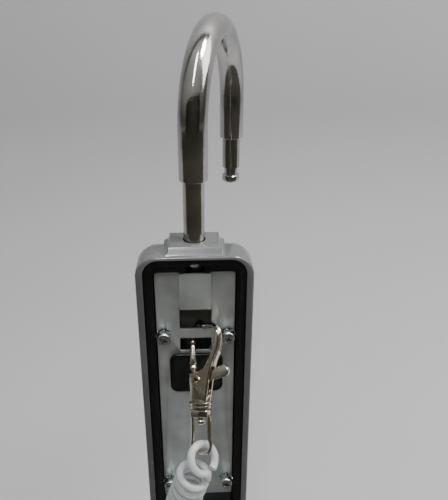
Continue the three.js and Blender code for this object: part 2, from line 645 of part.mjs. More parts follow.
class LoopCurve extends THREE.Curve {
  getPoint(t, target = new THREE.Vector3()) {
    const { centre, radius, turn, lean, open } = tether.loop;
    const angle = -Math.PI / 2 + 2 * Math.PI * (open + (1 - 2 * open) * t);
    target.set(radius * Math.cos(angle), 0, radius * Math.sin(angle));
    target.applyEuler(new THREE.Euler(-lean, 0, 0)).applyEuler(new THREE.Euler(0, 0, turn));
    return target.add(new THREE.Vector3(...centre));
  }
}

const tetherLoop = () => wireAlong(new LoopCurve(), cord.diameter / 2, 32, 8);
const tetherCoil = () => wireAlong(
  new THREE.CatmullRomCurve3(tether.route.map((p) => new THREE.Vector3(...p))), cord.outside / 2, 28, 20,
);

function tetherEnd() {
  const [x, y, z] = tether.route.at(-1);
  const { length, radius, eye, eyeWire } = tether.end;
  const plug = upright(radius, [z - GAP - length, z - GAP], x, y, 28);
  const eyelet = new THREE.TorusGeometry(eye, eyeWire, 10, 24).rotateX(Math.PI / 2);
  return plug.add(solidOf(eyelet.translate(x, y, z - GAP - length - eye)));
}

// ---------------------------------------------------------------- assembly
const finish = (color, roughness, metalness) => (
  new THREE.MeshStandardMaterial({ color, roughness, metalness })
);
const finishes = {
  chrome: finish(0xc9c8c4, 0.12, 1), cast: finish(0x6f7274, 0.35, 0.1), rubber: finish(0x17181a, 0.7, 0),
  zinc: finish(0xa9b0b2, 0.34, 1), nickel: finish(0xb9ad97, 0.2, 1), steel: finish(0x8f9294, 0.35, 1),
  plastic: finish(0x101113, 0.3, 0), brass: finish(0xb08d4c, 0.35, 1), clear: finish(0xe8ecee, 0.25, 0),
};

const lock = new THREE.Group();
function part(name, solid, material) {
  const mesh = new THREE.Mesh(geometryOf(solid), finishes[material]);
  mesh.name = name;
  lock.add(mesh);
}

part('shackle_rod', shackleRod(), 'chrome');
part('shackle_sleeve', shackleSleeve(), 'chrome');
part('retaining_ring', retainingRing(), 'steel');
part('thrust_washer', tubeRing(
  rodRadius + thrust.proud, rodRadius + bushing.clearance, [ring.top + 0.05, bushing.bottom - 0.05],
), 'steel');
part('housing', housing(), 'cast');
part('leg_bushing', legBushing(), 'steel');
part('leg_wiper', legWiper(), 'rubber');
part('gasket', gasketLiner(), 'rubber');
part('mounting_plate', mountingPlate(), 'zinc');
for (const [where, x, z] of screwPlaces) {
  part(`plate_screw_${where}`, panScrew(x, z), 'zinc');
  part(`spring_washer_${where}`, springWasher(x, z), 'steel');
  part(`flat_washer_${where}`, flatWasher(x, z), 'zinc');
}
part('button_cap', buttonCap(), 'plastic');
part('button_carrier', buttonCarrier(), 'plastic');
part('button_spring', buttonSpring(), 'steel');
part('lock_bolt', lockBolt(), 'steel');
part('bolt_guide', boltGuide(), 'steel');
part('lock_plate', lockPlate(), 'zinc');
part('hook_body', hookBody(), 'nickel');
part('hook_rivet', hookRivet(), 'nickel');
part('hook_gate', hookGate(), 'nickel');
part('swivel_pin', swivelPin(), 'nickel');
part('hook_bail', hookBail(), 'nickel');
part('tether_loop', tetherLoop(), 'clear');
part('tether_coil', tetherCoil(), 'clear');
part('tether_end', tetherEnd(), 'plastic');

lock.position.set(-toeAt.x / 2, -toeAt.y / 2, -(rod.archCentre + archRadius - sleeveRadius));
const group = new THREE.Group();
group.add(lock);
export default group;
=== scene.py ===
"""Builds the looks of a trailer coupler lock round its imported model.

Lengths are metres in the model's own frame: +Z runs up the shackle's legs and the open front faces -Y.
"""

import logging
import math
from dataclasses import dataclass
from enum import Enum
from typing import Callable, Dict, List, Sequence, Tuple, Union

import bmesh
import bpy
from mathutils import Matrix, Vector


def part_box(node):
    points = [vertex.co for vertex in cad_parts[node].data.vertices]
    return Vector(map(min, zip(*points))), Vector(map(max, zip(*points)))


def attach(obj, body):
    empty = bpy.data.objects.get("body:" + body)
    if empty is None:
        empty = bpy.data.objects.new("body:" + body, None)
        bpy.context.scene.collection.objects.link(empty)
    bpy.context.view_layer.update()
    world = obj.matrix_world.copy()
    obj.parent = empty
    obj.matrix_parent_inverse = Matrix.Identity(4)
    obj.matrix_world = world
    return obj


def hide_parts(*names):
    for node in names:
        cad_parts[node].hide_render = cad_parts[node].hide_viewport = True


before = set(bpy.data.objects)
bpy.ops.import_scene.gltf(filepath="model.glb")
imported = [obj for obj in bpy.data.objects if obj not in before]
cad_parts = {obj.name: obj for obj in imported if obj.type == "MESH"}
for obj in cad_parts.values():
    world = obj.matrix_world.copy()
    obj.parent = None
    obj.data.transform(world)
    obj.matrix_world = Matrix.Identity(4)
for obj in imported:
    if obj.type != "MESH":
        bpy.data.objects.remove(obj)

Point = Tuple[float, float, float]
Colour = Tuple[float, float, float]
Number = Union[int, float]

LOG = logging.getLogger("coupler_lock")
MM = 0.001
# The long leg's axis where it enters the top of the housing's boss.
LEG_ENTRY = Vector((-8.956, -30.043, -66.65)) * MM


def at(x: float, y: float, z: float) -> Vector:
    """Return the frame's point for millimetres measured from the leg's entry."""
    return LEG_ENTRY + Vector((x, y, z)) * MM


class Corner(Enum):
    """The four places where the mounting plate is screwed down."""

    UPPER_LEFT = "upper_left"
    UPPER_RIGHT = "upper_right"
    LOWER_LEFT = "lower_left"
    LOWER_RIGHT = "lower_right"


class Slot(Enum):
    """The material slots of the record."""

    CHROME = "polished_chrome"
    ENAMEL = "grey_enamel"
    RUBBER = "black_rubber"
    ZINC = "zinc_plate"
    SCREW = "screw_zinc"
    STEEL = "spring_steel"
    NICKEL = "nickel"
    PLASTIC = "black_plastic"
    CORD = "clear_cord"


# ------------------------------------------------------------------ shader wiring
class Signal:
    """A shader socket that adds its own Math nodes when it is used in a sum."""

    def __init__(self, wiring: "Wiring", socket: bpy.types.NodeSocket) -> None:
        """Wrap a socket of the wiring's tree."""
        self.wiring = wiring
        self.socket = socket

    def _math(self, operation: str, first: "Signal | Number", second: "Signal | Number") -> "Signal":
        """Add one Math node.

        Args:
            operation: The Math node's operation.
            first: Its first value.
            second: Its second value.

        Returns:
            The node's result.
        """
        return self.wiring.node("ShaderNodeMath", {"operation": operation}, {0: first, 1: second})

    def __add__(self, other: "Signal | Number") -> "Signal":
        """Return self + other."""
        return self._math("ADD", self, other)

    def __radd__(self, other: "Signal | Number") -> "Signal":
        """Return other + self."""
        return self._math("ADD", other, self)

    def __sub__(self, other: "Signal | Number") -> "Signal":
        """Return self - other."""
        return self._math("SUBTRACT", self, other)

    def __rsub__(self, other: "Signal | Number") -> "Signal":
        """Return other - self."""
        return self._math("SUBTRACT", other, self)

    def __mul__(self, other: "Signal | Number") -> "Signal":
        """Return self * other."""
        return self._math("MULTIPLY", self, other)

    def __rmul__(self, other: "Signal | Number") -> "Signal":
        """Return other * self."""
        return self._math("MULTIPLY", other, self)

    def ramp(self, low: float, high: float) -> "Signal":
        """Return 0 below low and 1 above high, with a smooth rise between.

        Args:
            low: The value that becomes 0.
            high: The value that becomes 1.

        Returns:
            The stretched value.
        """
        return self.wiring.node(
            "ShaderNodeMapRange",
            {"interpolation_type": "SMOOTHSTEP"},
            {"Value": self, "From Min": low, "From Max": high},
        )


class Wiring:
    """One material's node tree, with its Principled shader."""

    def __init__(self, name: str) -> None:
        """Start a material of that name."""
        self.material = bpy.data.materials.new(name)
        self.material.use_nodes = True
        self.tree = self.material.node_tree
        self.shader = self.tree.nodes["Principled BSDF"]

    def node(
        self,
        kind: str,
        settings: Dict[str, object],
        inputs: Dict[Union[int, str], object],
        output: Union[int, str] = 0,
    ) -> Signal:
        """Add a node.

        Args:
            kind: The node's type.
            settings: Its properties, which are set first.
            inputs: Values or signals for its sockets.
            output: The output to return.

        Returns:
            That output.
        """
        made = self.tree.nodes.new(kind)
        for key, value in settings.items():
            setattr(made, key, value)
        for key, value in inputs.items():
            if isinstance(value, Signal):
                self.tree.links.new(value.socket, made.inputs[key])
            else:
                made.inputs[key].default_value = value
        return Signal(self, made.outputs[output])

    def place(self, stretch: Point = (1.0, 1.0, 1.0)) -> Signal:
        """Return object coordinates, each axis multiplied by its stretch."""
        coordinates = self.node("ShaderNodeTexCoord", {}, {}, "Object")
        return self.node("ShaderNodeMapping", {}, {"Vector": coordinates, "Scale": stretch})

    def noise(self, scale: float, detail: float = 3.0, stretch: Point = (1.0, 1.0, 1.0)) -> Signal:
        """Return noise from 0 to 1.

        Args:
            scale: Its grains to the metre.
            detail: How many finer layers it has.
            stretch: How much faster it changes along each axis.

        Returns:
            The noise's factor.
        """
        inputs = {"Vector": self.place(stretch), "Scale": scale, "Detail": detail}
        return self.node("ShaderNodeTexNoise", {}, inputs, 0)

    def mix(self, factor: "Signal | Number", first: Colour, second: Colour) -> Signal:
        """Return a colour between two colours."""
        inputs = {0: factor, 6: (*first, 1.0), 7: (*second, 1.0)}
        return self.node("ShaderNodeMix", {"data_type": "RGBA"}, inputs, 2)

    def bump(self, height: Signal, distance: float, strength: float = 1.0) -> None:
        """Raise the surface by a height from 0 to 1, distance metres at most."""
        normal = self.node(
            "ShaderNodeBump", {}, {"Height": height, "Distance": distance, "Strength": strength}
        )
        self.set("Normal", normal)

    def set(self, name: str, value: object) -> None:
        """Give the shader's socket a value, a colour or a signal."""
        if isinstance(value, Signal):
            self.tree.links.new(value.socket, self.shader.inputs[name])
        else:
            self.shader.inputs[name].default_value = value


class Finish:
    """A surface finish, which makes its material once."""

    name: str

    def wire(self, wiring: Wiring) -> None:
        """Add the finish's nodes."""
        raise NotImplementedError

    def material(self) -> bpy.types.Material:
        """Return the finish's material."""
        known = bpy.data.materials.get(self.name)
        if known is None:
            wiring = Wiring(self.name)
            self.wire(wiring)
            known = wiring.material
        return known

    def dress(self, *pieces: bpy.types.Object) -> None:
        """Put the finish on whole pieces."""
        for piece in pieces:
            piece.data.materials.clear()
            piece.data.materials.append(self.material())


@dataclass(frozen=True)
class PlatedMetal(Finish):
    """Bright plating over steel, with fine pits and slow changes of tone."""

    name: str
    light: Colour
    dark: Colour
    roughness: float
    roughness_spread: float
    pit_scale: float
    pit_depth: float
    tone_scale: float = 90.0

    def wire(self, wiring: Wiring) -> None:
        """Add the tone, the pits and the hazy patches."""
        tone = wiring.noise(self.tone_scale, 3.0).ramp(0.35, 0.65)
        wiring.set("Base Color", wiring.mix(tone, self.light, self.dark))
        wiring.set("Metallic", 1.0)
        haze = wiring.noise(self.tone_scale * 4.0, 4.0)
        wiring.set("Roughness", haze * self.roughness_spread + self.roughness)
        pits = wiring.noise(self.pit_scale, 2.0)
        wiring.bump(pits.ramp(0.45, 0.75), self.pit_depth)


@dataclass(frozen=True)
class RolledZinc(Finish):
    """Passivated zinc on rolled sheet: a soft grain along Z, cloudy tints and a few scuffs."""

    name: str = "rolled_zinc"
    light: Colour = (0.70, 0.74, 0.73)
    dark: Colour = (0.54, 0.58, 0.575)
    tint: Colour = (0.50, 0.50, 0.42)

    def wire(self, wiring: Wiring) -> None:
        """Add the clouds, the rolling grain and the scuffs."""
        cloud = wiring.noise(85.0, 4.0).ramp(0.32, 0.68)
        tinted = wiring.noise(42.0, 2.0).ramp(0.52, 0.72)
        base = wiring.mix(cloud, self.light, self.dark)
        inputs = {0: tinted * 0.35, 6: base, 7: (*self.tint, 1.0)}
        wiring.set("Base Color", wiring.node("ShaderNodeMix", {"data_type": "RGBA"}, inputs, 2))
        wiring.set("Metallic", 0.72)
        grain = wiring.noise(900.0, 3.0, (1.0, 1.0, 0.06))
        scuff = wiring.noise(260.0, 5.0, (0.35, 1.0, 1.4)).ramp(0.60, 0.74)
        wiring.set("Roughness", grain * 0.10 + cloud * 0.07 + scuff * 0.14 + 0.34)
        wiring.bump(grain + scuff * 0.8, 0.000012)


@dataclass(frozen=True)
class Enamel(Finish):
    """Glossy stoved paint on a casting, with a faint orange peel and rubbed patches."""

    name: str = "stoved_enamel"
    colour: Colour = (0.104, 0.110, 0.109)
    rubbed: Colour = (0.130, 0.137, 0.136)

    def wire(self, wiring: Wiring) -> None:
        """Add the rubbed patches and the peel."""
        patch = wiring.noise(60.0, 4.0).ramp(0.42, 0.72)
        speck = wiring.noise(2400.0, 1.0).ramp(0.60, 0.80)
        base = wiring.mix(patch * 0.6 + speck * 0.25, self.colour, self.rubbed)
        wiring.set("Base Color", base)
        wiring.set("Roughness", patch * 0.08 + 0.22)
        wiring.set("Coat Weight", 0.55)
        wiring.shader.inputs["Coat Roughness"].default_value = 0.08
        peel = wiring.noise(700.0, 2.0)
        wiring.bump(peel, 0.00002, 0.5)


@dataclass(frozen=True)
class Moulded(Finish):
    """Moulded rubber or plastic, with a fine skin and dusty patches."""

    name: str
    colour: Colour
    dusty: Colour
    roughness: float
    grain_scale: float
    grain_depth: float

    def wire(self, wiring: Wiring) -> None:
        """Add the dust and the moulded skin."""
        dust = wiring.noise(140.0, 5.0).ramp(0.50, 0.78)
        wiring.set("Base Color", wiring.mix(dust * 0.7, self.colour, self.dusty))
        wiring.set("Roughness", dust * 0.18 + self.roughness)
        wiring.bump(wiring.noise(self.grain_scale, 2.0), self.grain_depth)


@dataclass(frozen=True)
class ClearPlastic(Finish):
    """Milky see-through plastic of the tether."""

    name: str = "milky_clear_plastic"
    clear: Colour = (0.74, 0.77, 0.78)
    milky: Colour = (0.88, 0.90, 0.90)

    def wire(self, wiring: Wiring) -> None:
        """Add the milky streaks and set the constant gloss."""
        streak = wiring.noise(420.0, 3.0).ramp(0.35, 0.70)
        wiring.set("Base Color", wiring.mix(streak, self.clear, self.milky))
        wiring.set("Roughness", streak * 0.08 + 0.12)
        wiring.set("Transmission Weight", 0.55)
        wiring.set("IOR", 1.45)
        wiring.bump(wiring.noise(1500.0, 2.0), 0.00001)


@dataclass(frozen=True)
class Paper(Finish):
    """The matt pale backdrop."""

    name: str = "backdrop_paper"
    colour: Colour = (0.44, 0.44, 0.455)

    def wire(self, wiring: Wiring) -> None:
        """Set a matt colour with a trace of mottling."""
        mottle = wiring.noise(9.0, 3.0)
        darker = tuple(0.94 * c for c in self.colour)
        wiring.set("Base Color", wiring.mix(mottle, self.colour, darker))
        wiring.set("Roughness", 0.95)


CHROME = PlatedMetal(
    "polished_chrome_plate", (0.50, 0.485, 0.455), (0.40, 0.39, 0.365), 0.07, 0.08, 1500.0, 0.000010
)
ROD_CHROME = PlatedMetal(
    "rod_chrome_plate", (0.47, 0.455, 0.42), (0.37, 0.355, 0.325), 0.09, 0.10, 1100.0, 0.000008
)
NICKEL = PlatedMetal(
    "champagne_nickel_plate", (0.80, 0.735, 0.635), (0.68, 0.62, 0.52), 0.11, 0.10, 1300.0, 0.000006
)
SCREW_ZINC = PlatedMetal(
    "bright_screw_zinc", (0.72, 0.76, 0.77), (0.58, 0.63, 0.64), 0.17, 0.12, 2200.0, 0.000006
)
SPRING_STEEL = PlatedMetal(
    "oiled_spring_steel", (0.42, 0.43, 0.43), (0.30, 0.31, 0.31), 0.26, 0.12, 1600.0, 0.000006
)
BRIGHT_STEEL = PlatedMetal(
    "bright_turned_steel", (0.66, 0.655, 0.63), (0.54, 0.535, 0.51), 0.20, 0.10, 1600.0, 0.000005
)
ZINC_SHEET = RolledZinc()
# Painted shade: a darker copy of the rolled zinc for the lock plate, which lies back in the housing's shade behind
# the plate's windows.
ZINC_PAINTED_SHADE = RolledZinc("zinc_painted_shade", (0.40, 0.42, 0.40), (0.28, 0.30, 0.28), (0.36, 0.37, 0.28))
ENAMEL = Enamel()
RUBBER = Moulded("black_rubber_seal", (0.0035, 0.0036, 0.0045), (0.009, 0.0095, 0.012), 0.46, 1800.0, 0.00002)
PLASTIC = Moulded("black_moulded_plastic", (0.003, 0.003, 0.0035), (0.007, 0.007, 0.008), 0.30, 2600.0, 0.000008)
CLEAR = ClearPlastic()
FLAG = Moulded("dark_flag", (0.045, 0.041, 0.030), (0.030, 0.027, 0.020), 0.90, 12.0, 0.0001)
PAPER = Paper()


# ------------------------------------------------------------------ modelling bench
class Bench:
    """Shapes pieces with Blender's own operators."""

    @staticmethod
    def clear_selection() -> None:
        """Leave object mode's selection empty."""
        if bpy.context.mode != "OBJECT":
            bpy.ops.object.mode_set(mode="OBJECT")
        bpy.ops.object.select_all(action="DESELECT")

    @staticmethod
    def take(piece: bpy.types.Object) -> None:
        """Make a piece the only selected and active one."""
        Bench.clear_selection()
        piece.select_set(True)
        bpy.context.view_layer.objects.active = piece

    @staticmethod
    def added(name: str) -> bpy.types.Object:
        """Name the primitive that was just added and return it."""
        piece = bpy.context.active_object
        piece.name = name
        piece.data.name = name
        return piece

    @staticmethod
    def edit(piece: bpy.types.Object) -> None:
        """Open a piece in edit mode with nothing selected."""
        Bench.take(piece)
        bpy.ops.object.mode_set(mode="EDIT")
        bpy.ops.mesh.select_all(action="DESELECT")

    @staticmethod
    def close() -> None:
        """Leave edit mode."""
        bpy.ops.object.mode_set(mode="OBJECT")

    @staticmethod
    def pick(piece: bpy.types.Object, kind: str, test: Callable[[object], bool]) -> int:
        """Select what passes a test, in edit mode.

        Args:
            piece: The piece being edited.
            kind: "VERT", "EDGE" or "FACE".
            test: Says whether a mesh element is wanted.

        Returns:
            How many elements were selected.
        """
        bpy.ops.mesh.select_all(action="DESELECT")
        bpy.ops.mesh.select_mode(type=kind)
        mesh = bmesh.from_edit_mesh(piece.data)
        found = 0
        for element in {"VERT": mesh.verts, "EDGE": mesh.edges, "FACE": mesh.faces}[kind]:
            if test(element):
                element.select = True
                found += 1
        mesh.select_flush_mode()
        bmesh.update_edit_mesh(piece.data)
        return found

    @staticmethod
    def settle(piece: bpy.types.Object, smooth_deg: float = 35.0) -> bpy.types.Object:
        """Put a piece's place into its mesh and smooth what isn't an edge.

        Args:
            piece: The piece.
            smooth_deg: Faces that meet at less than this angle are smoothed.

        Returns:
            The same piece.
        """
        Bench.take(piece)
        bpy.ops.object.transform_apply(location=True, rotation=True, scale=True)
        bpy.ops.object.shade_smooth_by_angle(angle=math.radians(smooth_deg))
        return piece

    @staticmethod
    def outwards(piece: bpy.types.Object) -> None:
        """Merge doubles and turn every face outwards."""
        Bench.edit(piece)
        bpy.ops.mesh.select_all(action="SELECT")
        bpy.ops.mesh.remove_doubles(threshold=0.000002)
        bpy.ops.mesh.normals_make_consistent(inside=False)
        Bench.close()

    @staticmethod
    def modify(piece: bpy.types.Object, kind: str, **settings: object) -> None:
        """Add a modifier, give it its settings and apply it."""
        Bench.take(piece)
        modifier = piece.modifiers.new(kind.title(), kind)
        for key, value in settings.items():
            setattr(modifier, key, value)
        bpy.ops.object.modifier_apply(modifier=modifier.name)

    @staticmethod
    def copy_of(node: str, name: str, edge: float = 0.0, smooth_deg: float = 32.0) -> bpy.types.Object:
        """Make a welded copy of a CAD node, with softened edges.

        Args:
            node: The CAD node.
            name: The new piece's name.
            edge: The width of the softening on sharp edges.
            smooth_deg: Faces that meet at less than this angle are smoothed.

        Returns:
            The new piece.
        """
        piece = bpy.data.objects.new(name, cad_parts[node].data.copy())
        piece.data.name = name
        bpy.context.scene.collection.objects.link(piece)
        Bench.edit(piece)
        bpy.ops.mesh.select_all(action="SELECT")
        bpy.ops.mesh.remove_doubles(threshold=0.000005)
        bpy.ops.mesh.dissolve_limited(angle_limit=math.radians(0.5))
        Bench.close()
        if edge > 0.0:
            Bench.modify(
                piece,
                "BEVEL",
                width=edge,
                segments=2,
                limit_method="ANGLE",
                angle_limit=math.radians(40.0),
                harden_normals=False,
                use_clamp_overlap=True,
            )
        return Bench.settle(piece, smooth_deg)



def place_piece(
    piece: bpy.types.Object, body: str, finish: Finish, replaces: Sequence[str] = ()
) -> None:
    """Dress a piece, hang it on the body that it moves with, and hide the CAD nodes that it stands for.

    Args:
        piece: The piece.
        body: The body that it moves with.
        finish: Its finish.
        replaces: The CAD nodes that it stands for.
    """
    finish.dress(piece)
    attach(piece, body)
    if replaces:
        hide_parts(*replaces)
    LOG.info("%s rides on %s", piece.name, body)


# ------------------------------------------------------------------ camera and studio
@dataclass
class Studio:
    """The camera, the pale backdrop and the lights."""

    lens: float = 40.32
    eye: Point = (-0.00970, -0.22223, 0.02144)
    pitch: float = math.radians(25.813)
    yaw: float = math.radians(3.584)
    roll: float = math.radians(0.517)
    floor: float = -0.300
    wall: float = 0.26

    def camera(self) -> None:
        """Add the camera at its viewing angle."""
        data = bpy.data.cameras.new("camera")
        data.lens = self.lens
        data.sensor_width = 36.0
        data.clip_start = 0.01
        camera = bpy.data.objects.new("camera", data)
        bpy.context.scene.collection.objects.link(camera)
        forward = Vector((
            math.sin(self.yaw) * math.cos(self.pitch),
            math.cos(self.yaw) * math.cos(self.pitch),
            -math.sin(self.pitch),
        ))
        level = Vector((math.cos(self.yaw), -math.sin(self.yaw), 0.0))
        upright = level.cross(forward)
        right = level * math.cos(self.roll) + upright * math.sin(self.roll)
        up = upright * math.cos(self.roll) - level * math.sin(self.roll)
        turn = Matrix((right, up, -forward)).transposed().to_4x4()
        camera.matrix_world = Matrix.Translation(Vector(self.eye)) @ turn
        bpy.context.scene.camera = camera

    def backdrop(self) -> None:
        """Add a floor that sweeps up into a wall."""
        Bench.clear_selection()
        bpy.ops.mesh.primitive_plane_add(size=4.0, location=(0.0, -1.2, self.floor))
        sweep = Bench.added("backdrop")
        far = max((sweep.matrix_world @ v.co).y for v in sweep.data.vertices)
        Bench.edit(sweep)
        Bench.pick(sweep, "EDGE", lambda e: all((sweep.matrix_world @ v.co).y > far - 0.01 for v in e.verts))
        bpy.ops.transform.translate(value=(0.0, self.wall - far, 0.0))
        bpy.ops.mesh.extrude_region_move(TRANSFORM_OT_translate={"value": (0.0, 0.0, 2.4)})
        near = self.wall - 0.001
        Bench.pick(sweep, "EDGE", lambda e: all(
            (sweep.matrix_world @ v.co).y > near and (sweep.matrix_world @ v.co).z < self.floor + 0.01
            for v in e.verts
        ))
        bpy.ops.mesh.bevel(offset=0.22, segments=16, affect="EDGES")
        Bench.close()
        Bench.settle(sweep, 60.0)
        PAPER.dress(sweep)

    def lamp(self, name: str, place: Point, size: Tuple[float, float], watts: float, colour: Colour) -> None:
        """Add an area light aimed at the lock.

        Args:
            name: The light's name.
            place: Where it hangs.
            size: Its width and height.
            watts: Its power.
            colour: Its colour.
        """
        data = bpy.data.lights.new(name, "AREA")
        data.shape = "RECTANGLE"
        data.size, data.size_y = size
        data.energy = watts
        data.color = colour
        lamp = bpy.data.objects.new(name, data)
        bpy.context.scene.collection.objects.link(lamp)
        lamp.location = Vector(place)
        aim = Vector((-0.005, -0.02, -0.08)) - lamp.location
        lamp.rotation_euler = aim.to_track_quat("-Z", "Y").to_euler()

    def flag(self, name: str, place: Point, size: Tuple[float, float], tilt: float) -> None:
        """Add a dark card that only bright metal sees.

        Args:
            name: The card's name.
            place: Its middle.
            size: Its width and length.
            tilt: Its turn about X.
        """
        Bench.clear_selection()
        bpy.ops.mesh.primitive_plane_add(size=1.0, location=place, rotation=(tilt, 0.0, 0.0))
        card = Bench.added(name)
        card.scale = (*size, 1.0)
        Bench.settle(card)
        FLAG.dress(card)
        card.visible_camera = False
        card.visible_shadow = False
        card.visible_diffuse = False

    def room(self) -> None:
        """Light the room dimly, warmer and darker below and in front."""
        world = bpy.data.worlds.new("room")
        world.use_nodes = True
        tree = world.node_tree
        shade = tree.nodes["Background"]
        coordinates = tree.nodes.new("ShaderNodeTexCoord")
        split = tree.nodes.new("ShaderNodeSeparateXYZ")
        ramp = tree.nodes.new("ShaderNodeValToRGB")
        stops = ramp.color_ramp.elements
        stops[0].position, stops[0].color = 0.0, (0.030, 0.027, 0.022, 1.0)
        stops[1].position, stops[1].color = 1.0, (0.62, 0.63, 0.66, 1.0)
        middle = stops.new(0.5)
        middle.color = (0.105, 0.098, 0.080, 1.0)
        high = stops.new(0.72)
        high.color = (0.30, 0.30, 0.30, 1.0)
        scale = tree.nodes.new("ShaderNodeMapRange")
        scale.inputs["From Min"].default_value = -1.0
        tree.links.new(coordinates.outputs["Generated"], split.inputs[0])
        tree.links.new(split.outputs["Z"], scale.inputs["Value"])
        tree.links.new(scale.outputs[0], ramp.inputs[0])
        tree.links.new(ramp.outputs[0], shade.inputs["Color"])
        shade.inputs["Strength"].default_value = 1.0
        bpy.context.scene.world = world

    def build(self) -> None:
        """Set the studio up."""
        self.camera()
        self.backdrop()
        self.room()
        self.flag("front_flag", (0.0, -1.05, 0.05), (2.6, 1.0), math.pi / 2)
        self.flag("floor_flag", (0.0, -0.90, self.floor + 0.01), (2.6, 1.7), 0.0)
        self.lamp("ceiling_right", (0.34, -0.10, 0.80), (0.30, 0.22), 10.5, (1.0, 0.985, 0.96))
        self.lamp("ceiling_tube", (-0.10, -0.46, 0.80), (0.035, 0.60), 3.2, (1.0, 0.99, 0.97))
        self.lamp("wall_wash", (0.85, -0.05, 0.60), (0.7, 0.7), 6.5, (0.97, 0.98, 1.0))

# ------------------------------------------------------------------ tether
@dataclass
class Tether:
    """A springy coil of clear cord. Its end turn hangs on the hook's bail, and a plug with an eye ends it."""

    diameter: float = 0.003
    coil_radius: float = 0.0055
    pitch: float = 0.0038
    length: float = 0.95
    landing: float = 0.010
    plug_entry: float = 0.0015
    steps_per_turn: int = 22
    loop_centre: Point = (1.9, -32.5, -78.7)
    loop_turn: float = math.radians(44.0)
    loop_lean: float = math.radians(39.0)
    loop_open: float = 0.05
    join_angle: float = math.radians(-25.0)
    route: Tuple[Point, ...] = (
        (-1.4, -33.0, -84.6), (-3.6, -33.0, -92.0), (-6.2, -32.8, -100.5), (-8.4, -32.4, -110.0),
        (-9.6, -32.0, -122.0), (-10.0, -31.8, -140.0), (-10.0, -31.8, -170.0), (-10.0, -31.8, -192.0),
    )

    def loop_point(self, share: float) -> Vector:
        """Return the point at a share, from 0 to 1, of the way round the end turn."""
        angle = -math.pi / 2 + 2 * math.pi * (self.loop_open + (1 - 2 * self.loop_open) * share)
        flat = Vector((math.cos(angle), 0.0, math.sin(angle))) * self.coil_radius
        lean = Matrix.Rotation(-self.loop_lean, 3, "X")
        turn = Matrix.Rotation(self.loop_turn, 3, "Z")
        return at(*self.loop_centre) + turn @ (lean @ flat)

    def axis(self) -> List[Vector]:
        """Return close points along the coil's middle, on one smooth line."""
        knots = [at(*p) for p in self.route]
        ends = [knots[0] * 2 - knots[1], *knots, knots[-1] * 2 - knots[-2]]
        line: List[Vector] = []
        fine = 40
        for a, b, c, d in zip(ends, ends[1:], ends[2:], ends[3:]):
            for i in range(fine):
                t = i / fine
                line.append(
                    0.5 * (2 * b + (c - a) * t + (2 * a - 5 * b + 4 * c - d) * t * t
                           + (3 * b - a - 3 * c + d) * t ** 3)
                )
        return [*line, knots[-1]]

    def helix(self) -> List[Vector]:
        """Return the coil's turns, which stop a little above the plug."""
        line = self.axis()
        runs = [0.0]
        for a, b in zip(line, line[1:]):
            runs.append(runs[-1] + (b - a).length)
        total = runs[-1] - self.landing
        count = int(total / self.pitch * self.steps_per_turn)
        made = []
        index = 0
        for i in range(count + 1):
            run = total * i / count
            while index < len(runs) - 2 and runs[index + 1] < run:
                index += 1
            part = (run - runs[index]) / max(runs[index + 1] - runs[index], 1e-12)
            centre = line[index].lerp(line[index + 1], min(part, 1.0))
            down = (line[index + 1] - line[index]).normalized()
            aside = (Vector((1.0, 0.0, 0.0)) - down * down.x).normalized()
            back = aside.cross(down) * -1.0
            if back.y < 0:
                back.negate()
            angle = self.join_angle + 2 * math.pi * run / self.pitch
            made.append(centre + (aside * math.cos(angle) + back * math.sin(angle)) * self.coil_radius)
        return made

    @staticmethod
    def blend(start: Vector, leave: Vector, finish: Vector, enter: Vector, pull: float) -> List[Vector]:
        """Return points of a smooth run between two points.

        Args:
            start: Where it starts.
            leave: Its direction there.
            finish: Where it ends.
            enter: Its direction there.
            pull: How strongly it keeps to the two directions.

        Returns:
            The points between the two, without them.
        """
        steps = 20
        made = []
        for i in range(1, steps):
            t = i / steps
            made.append(
                start * (2 * t ** 3 - 3 * t * t + 1) + leave * pull * (t ** 3 - 2 * t * t + t)
                + finish * (3 * t * t - 2 * t ** 3) + enter * pull * (t ** 3 - t * t)
            )
        return made

    def path(self) -> List[Vector]:
        """Return the whole cord, from the end turn's start to the plug."""
        loop = [self.loop_point(i / 48) for i in range(49)]
        helix = self.helix()
        leave = (loop[-1] - loop[-2]).normalized()
        enter = (helix[1] - helix[0]).normalized()
        bridge = self.blend(loop[-1], leave, helix[0], enter, (helix[0] - loop[-1]).length * 1.1)
        plug = at(*self.route[-1])
        drop = Vector((0.0, 0.0, -1.0))
        tail = self.blend(helix[-1], (helix[-1] - helix[-2]).normalized(), plug, drop, self.landing * 1.5)
        end = plug + drop * self.plug_entry
        return [*loop, *bridge, *helix, *tail, plug, end]

    def build(self) -> None:
        points = self.path()
        run = sum((b - a).length for a, b in zip(points, points[1:]))
        LOG.info("tether cord is %.4f m long", run)
        curve = bpy.data.curves.new("tether_cord", "CURVE")
        curve.dimensions = "3D"
        curve.bevel_depth = self.diameter / 2
        curve.bevel_resolution = 3
        curve.use_fill_caps = True
        spline = curve.splines.new("POLY")
        spline.points.add(len(points) - 1)
        for knot, point in zip(spline.points, points):
            knot.co = (*point, 1.0)
        spline.use_smooth = True
        cord = bpy.data.objects.new("tether_cord", curve)
        bpy.context.scene.collection.objects.link(cord)
        place_piece(cord, "bail", CLEAR, ["tether_loop", "tether_coil"])
        plug = Bench.copy_of("tether_end", "tether_plug", 0.0004)
        place_piece(plug, "bail", PLASTIC, ["tether_end"])


